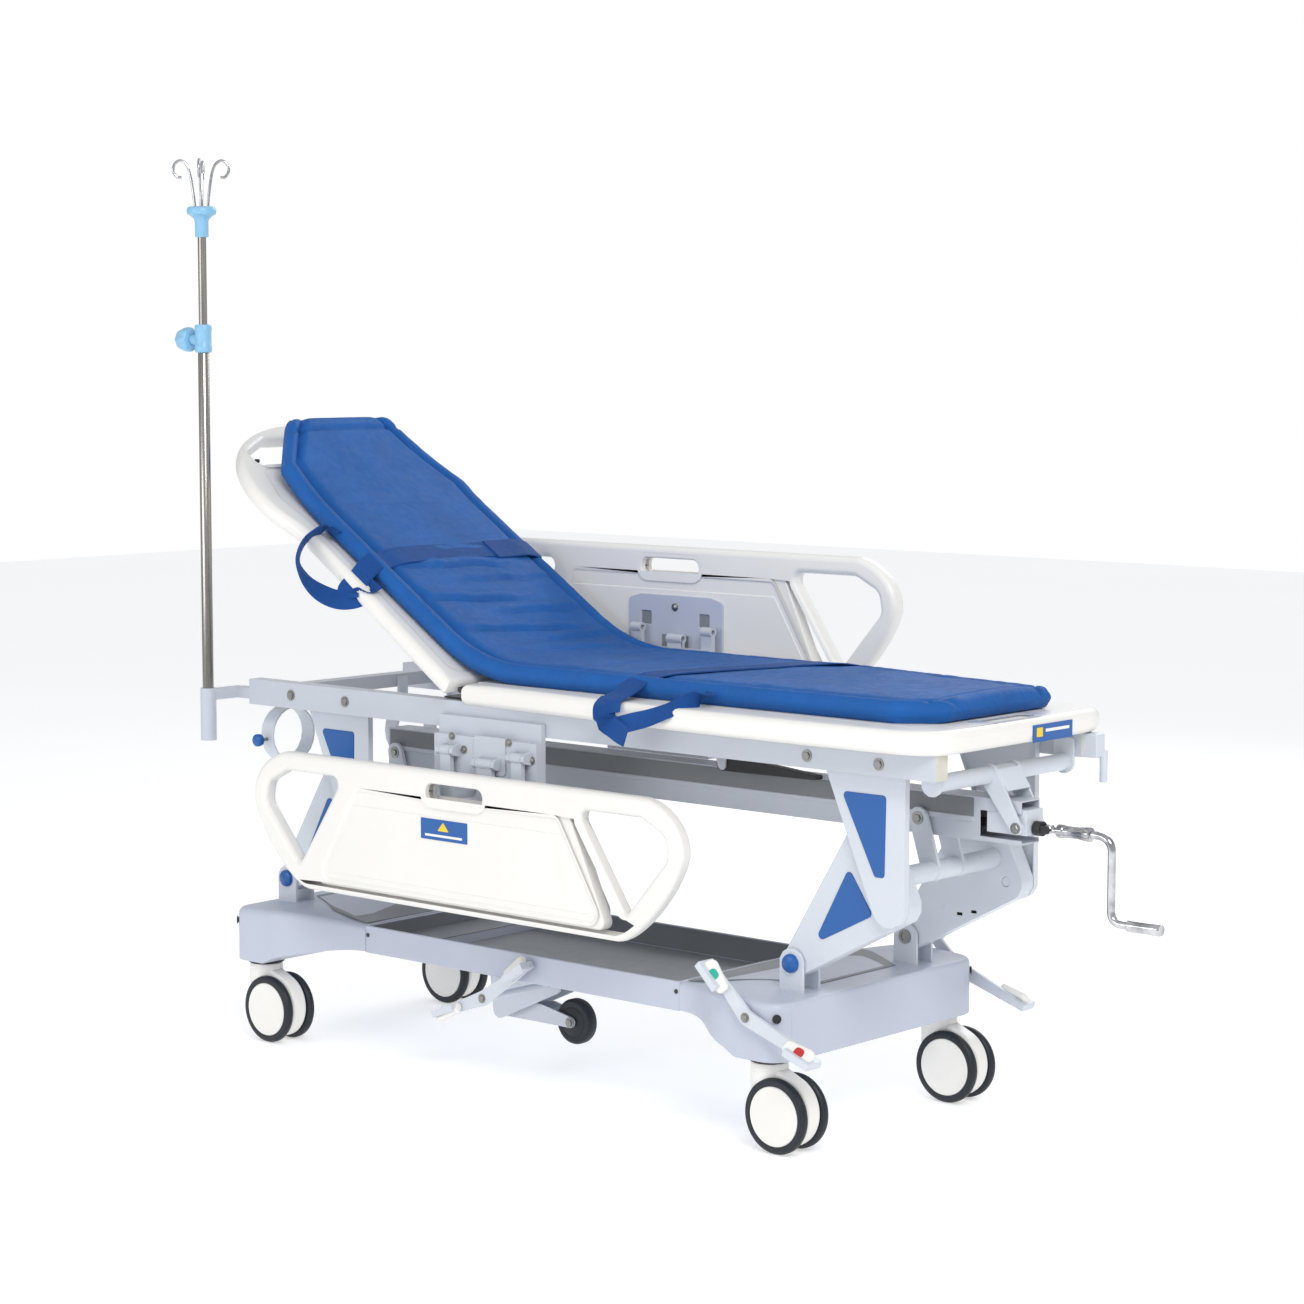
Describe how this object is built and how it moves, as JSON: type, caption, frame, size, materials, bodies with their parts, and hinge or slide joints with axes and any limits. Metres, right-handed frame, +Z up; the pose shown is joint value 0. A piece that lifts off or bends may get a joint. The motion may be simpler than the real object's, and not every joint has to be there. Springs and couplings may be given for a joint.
{
  "type": "stretcher trolley",
  "caption": "Crank-raised hospital stretcher trolley with hinged backrest, blue mattress, folding side rails, infusion pole, brake pedals and swivelling twin-wheel casters.",
  "frame": {"origin": "middle of the object's box, on the floor", "axes": "+X from the head end to the foot end with the crank, +Z up, +Y to the patient's left"},
  "size_m": [2.411, 0.752, 1.9682],
  "materials": {
    "white_plastic": "satin warm white moulding",
    "white_steel": "powder-coated steel, cool white",
    "frame_steel": "powder-coated steel, grey-lavender",
    "grey_moulding": "satin grey-lavender moulding",
    "blue_fabric": "blue coated cloth",
    "blue_plastic": "blue inserts and caps",
    "light_blue_plastic": "light blue moulding",
    "black_plastic": "black moulding",
    "black_metal": "black paint",
    "stainless": "brushed stainless tube",
    "chrome": "chrome plate",
    "brass": "machined nut",
    "tyre": "dark grey tyre on a white hub",
    "red_plastic": "red pedal mark",
    "green_plastic": "green pedal mark"
  },
  "bodies": {
    "base": {"base_frame": "frame_steel", "base_cover_foot": "grey_moulding", "base_cover_head": "grey_moulding", "storage_tray": "grey_moulding"},
    "foot_arm": {"foot_arm_right": "white_steel", "foot_arm_left": "white_steel", "foot_arm_tube": "white_steel"},
    "head_arm": {"head_arm_right": "white_steel", "head_arm_left": "white_steel", "head_arm_tube": "white_steel"},
    "tie_beam": {"tie_beam": "frame_steel"},
    "top_frame": {"top_frame": "frame_steel", "foot_leg_right": "white_steel", "foot_leg_left": "white_steel", "head_leg_right": "white_steel", "head_leg_left": "white_steel", "crank_hanger": "white_steel", "bottle_ring_right": "frame_steel", "bottle_ring_left": "frame_steel", "foot_deck": "white_plastic", "mattress_foot": "blue_fabric", "gas_spring_cylinder": "black_metal", "side_rail_bracket_right": "white_plastic", "side_rail_bracket_left": "white_plastic", "iv_lower_tube": "stainless", "iv_clamp": "light_blue_plastic"},
    "crank": {"crank_screw": "chrome"},
    "crank_handle": {"crank_handle": "chrome"},
    "crank_grip": {"crank_grip": "chrome"},
    "drive_nut": {"drive_nut": "brass"},
    "backrest": {"backrest_board": "white_plastic", "mattress_back": "blue_fabric"},
    "gas_rod": {"gas_spring_rod": "chrome"},
    "release_lever": {"release_lever": "black_plastic"},
    "rail_arms_right": {"side_rail_arms_right": "white_plastic"},
    "rail_stay_right": {"side_rail_stay_right": "white_plastic"},
    "rail_panel_right": {"side_rail_panel_right": "white_plastic"},
    "rail_arms_left": {"side_rail_arms_left": "white_plastic"},
    "rail_stay_left": {"side_rail_stay_left": "white_plastic"},
    "rail_panel_left": {"side_rail_panel_left": "white_plastic"},
    "brake_pedals": {"brake_pedal_right": "white_steel", "brake_pedal_left": "white_steel"},
    "steering_pedal": {"steering_pedal": "white_steel"},
    "fifth_wheel_arm": {"fifth_wheel_arm": "frame_steel"},
    "fifth_wheel": {"fifth_wheel": "tyre"},
    "caster_foot_right": {"caster_housing_foot_right": "white_plastic"},
    "wheel_outer_foot_right": {"caster_wheel_outer_foot_right": "tyre"},
    "wheel_inner_foot_right": {"caster_wheel_inner_foot_right": "tyre"},
    "caster_foot_left": {"caster_housing_foot_left": "white_plastic"},
    "wheel_outer_foot_left": {"caster_wheel_outer_foot_left": "tyre"},
    "wheel_inner_foot_left": {"caster_wheel_inner_foot_left": "tyre"},
    "caster_head_right": {"caster_housing_head_right": "white_plastic"},
    "wheel_outer_head_right": {"caster_wheel_outer_head_right": "tyre"},
    "wheel_inner_head_right": {"caster_wheel_inner_head_right": "tyre"},
    "caster_head_left": {"caster_housing_head_left": "white_plastic"},
    "wheel_outer_head_left": {"caster_wheel_outer_head_left": "tyre"},
    "wheel_inner_head_left": {"caster_wheel_inner_head_left": "tyre"},
    "iv_upper": {"iv_upper_tube": "stainless", "iv_hook_hub": "stainless"},
    "iv_knob": {"iv_clamp_knob": "light_blue_plastic"}
  },
  "joints": [
    {"name": "lift", "type": "hinge", "parent": "base", "child": "foot_arm", "pos_m": [0.4945, 0, 0.355], "axis": [0, -1, 0], "range_deg": [-28, 8]},
    {"name": "head_arm_swing", "type": "hinge", "parent": "base", "child": "head_arm", "pos_m": [-0.9775, 0, 0.355], "axis": [0, -1, 0], "range_deg": [-28, 8]},
    {"name": "top_frame_level", "type": "hinge", "parent": "foot_arm", "child": "top_frame", "pos_m": [0.73699, 0, 0.495], "axis": [0, -1, 0], "range_deg": [-8, 28]},
    {"name": "tie_beam_level", "type": "hinge", "parent": "foot_arm", "child": "tie_beam", "pos_m": [0.67361, 0, 0.64164], "axis": [0, -1, 0], "range_deg": [-8, 28]},
    {"name": "crank_turn", "type": "hinge", "parent": "top_frame", "child": "crank", "pos_m": [0.9285, 0, 0.642], "axis": [1, 0, 0], "range_deg": [-2520, 720]},
    {"name": "crank_fold", "type": "hinge", "parent": "crank", "child": "crank_handle", "pos_m": [0.9505, 0, 0.642], "axis": [0, 1, 0], "range_deg": [0, 90]},
    {"name": "grip_spin", "type": "hinge", "parent": "crank_handle", "child": "crank_grip", "pos_m": [1.1685, 0, 0.479], "axis": [1, 0, 0], "continuous": true},
    {"name": "nut_travel", "type": "slide", "parent": "top_frame", "child": "drive_nut", "axis": [1, 0, 0], "range_m": [-0.025, 0.08]},
    {"name": "backrest_tilt", "type": "hinge", "parent": "top_frame", "child": "backrest", "pos_m": [-0.3695, 0, 0.842], "axis": [0, 1, 0], "range_deg": [-33, 42]},
    {"name": "gas_spring_stroke", "type": "slide", "parent": "top_frame", "child": "gas_rod", "axis": [1, 0, 0], "range_m": [-0.05, 0.04]},
    {"name": "release_squeeze", "type": "hinge", "parent": "top_frame", "child": "release_lever", "pos_m": [0.1905, -0.05, 0.704], "axis": [0, -1, 0], "range_deg": [0, 8]},
    {"name": "side_rail_swing_right", "type": "hinge", "parent": "top_frame", "child": "rail_arms_right", "pos_m": [-0.2935, -0.302, 0.71], "axis": [-1, 0, 0], "range_deg": [0, 180]},
    {"name": "side_rail_stay_swing_right", "type": "hinge", "parent": "top_frame", "child": "rail_stay_right", "pos_m": [-0.2935, -0.302, 0.69], "axis": [-1, 0, 0], "range_deg": [0, 180]},
    {"name": "side_rail_level_right", "type": "hinge", "parent": "rail_arms_right", "child": "rail_panel_right", "pos_m": [-0.2935, -0.302, 0.49], "axis": [-1, 0, 0], "range_deg": [-180, 0]},
    {"name": "side_rail_swing_left", "type": "hinge", "parent": "top_frame", "child": "rail_arms_left", "pos_m": [-0.2935, 0.302, 0.71], "axis": [-1, 0, 0], "range_deg": [0, 180]},
    {"name": "side_rail_stay_swing_left", "type": "hinge", "parent": "top_frame", "child": "rail_stay_left", "pos_m": [-0.2935, 0.302, 0.69], "axis": [-1, 0, 0], "range_deg": [0, 180]},
    {"name": "side_rail_level_left", "type": "hinge", "parent": "rail_arms_left", "child": "rail_panel_left", "pos_m": [-0.2935, 0.302, 0.93], "axis": [-1, 0, 0], "range_deg": [-180, 0]},
    {"name": "brake_rock", "type": "hinge", "parent": "base", "child": "brake_pedals", "pos_m": [0.4875, 0, 0.267], "axis": [0, -1, 0], "range_deg": [0, 40]},
    {"name": "steering_rock", "type": "hinge", "parent": "base", "child": "steering_pedal", "pos_m": [-0.3225, 0, 0.175], "axis": [0, 1, 0], "range_deg": [0, 33]},
    {"name": "fifth_wheel_drop", "type": "hinge", "parent": "base", "child": "fifth_wheel_arm", "pos_m": [-0.4735, 0, 0.095], "axis": [0, 1, 0], "range_deg": [0, 12]},
    {"name": "fifth_wheel_roll", "type": "hinge", "parent": "fifth_wheel_arm", "child": "fifth_wheel", "pos_m": [-0.2775, 0, 0.092], "axis": [0, 1, 0], "continuous": true},
    {"name": "caster_swivel_foot_right", "type": "hinge", "parent": "base", "child": "caster_foot_right", "pos_m": [0.4945, -0.278, 0.1], "axis": [0, 0, 1], "continuous": true},
    {"name": "wheel_roll_outer_foot_right", "type": "hinge", "parent": "caster_foot_right", "child": "wheel_outer_foot_right", "pos_m": [0.5375, -0.3095, 0.075], "axis": [0, 1, 0], "continuous": true},
    {"name": "wheel_roll_inner_foot_right", "type": "hinge", "parent": "caster_foot_right", "child": "wheel_inner_foot_right", "pos_m": [0.5375, -0.2465, 0.075], "axis": [0, 1, 0], "continuous": true},
    {"name": "caster_swivel_foot_left", "type": "hinge", "parent": "base", "child": "caster_foot_left", "pos_m": [0.4945, 0.278, 0.1], "axis": [0, 0, 1], "continuous": true},
    {"name": "wheel_roll_outer_foot_left", "type": "hinge", "parent": "caster_foot_left", "child": "wheel_outer_foot_left", "pos_m": [0.5375, 0.3095, 0.075], "axis": [0, 1, 0], "continuous": true},
    {"name": "wheel_roll_inner_foot_left", "type": "hinge", "parent": "caster_foot_left", "child": "wheel_inner_foot_left", "pos_m": [0.5375, 0.2465, 0.075], "axis": [0, 1, 0], "continuous": true},
    {"name": "caster_swivel_head_right", "type": "hinge", "parent": "base", "child": "caster_head_right", "pos_m": [-0.9775, -0.278, 0.1], "axis": [0, 0, 1], "continuous": true},
    {"name": "wheel_roll_outer_head_right", "type": "hinge", "parent": "caster_head_right", "child": "wheel_outer_head_right", "pos_m": [-0.9345, -0.3095, 0.075], "axis": [0, 1, 0], "continuous": true},
    {"name": "wheel_roll_inner_head_right", "type": "hinge", "parent": "caster_head_right", "child": "wheel_inner_head_right", "pos_m": [-0.9345, -0.2465, 0.075], "axis": [0, 1, 0], "continuous": true},
    {"name": "caster_swivel_head_left", "type": "hinge", "parent": "base", "child": "caster_head_left", "pos_m": [-0.9775, 0.278, 0.1], "axis": [0, 0, 1], "continuous": true},
    {"name": "wheel_roll_outer_head_left", "type": "hinge", "parent": "caster_head_left", "child": "wheel_outer_head_left", "pos_m": [-0.9345, 0.3095, 0.075], "axis": [0, 1, 0], "continuous": true},
    {"name": "wheel_roll_inner_head_left", "type": "hinge", "parent": "caster_head_left", "child": "wheel_inner_head_left", "pos_m": [-0.9345, 0.2465, 0.075], "axis": [0, 1, 0], "continuous": true},
    {"name": "iv_height", "type": "slide", "parent": "top_frame", "child": "iv_upper", "axis": [0, 0, 1], "range_m": [-0.185, 0.3]},
    {"name": "iv_knob_turn", "type": "hinge", "parent": "top_frame", "child": "iv_knob", "pos_m": [-1.1585, -0.33, 1.572], "axis": [-1, 0, 0], "range_deg": [-180, 180]}
  ],
  "couplings": [
    {"joint": "head_arm_swing", "follows": "lift", "ratio": 1},
    {"joint": "top_frame_level", "follows": "lift", "ratio": -1},
    {"joint": "tie_beam_level", "follows": "lift", "ratio": -1},
    {"joint": "crank_turn", "follows": "lift", "ratio": 90},
    {"joint": "nut_travel", "follows": "lift", "m_per_rad": -0.153},
    {"joint": "gas_spring_stroke", "follows": "backrest_tilt", "m_per_rad": -0.06},
    {"joint": "side_rail_stay_swing_right", "follows": "side_rail_swing_right", "ratio": 1},
    {"joint": "side_rail_level_right", "follows": "side_rail_swing_right", "ratio": -1},
    {"joint": "side_rail_stay_swing_left", "follows": "side_rail_swing_left", "ratio": 1},
    {"joint": "side_rail_level_left", "follows": "side_rail_swing_left", "ratio": -1},
    {"joint": "fifth_wheel_drop", "follows": "steering_rock", "ratio": 0.34}
  ]
}
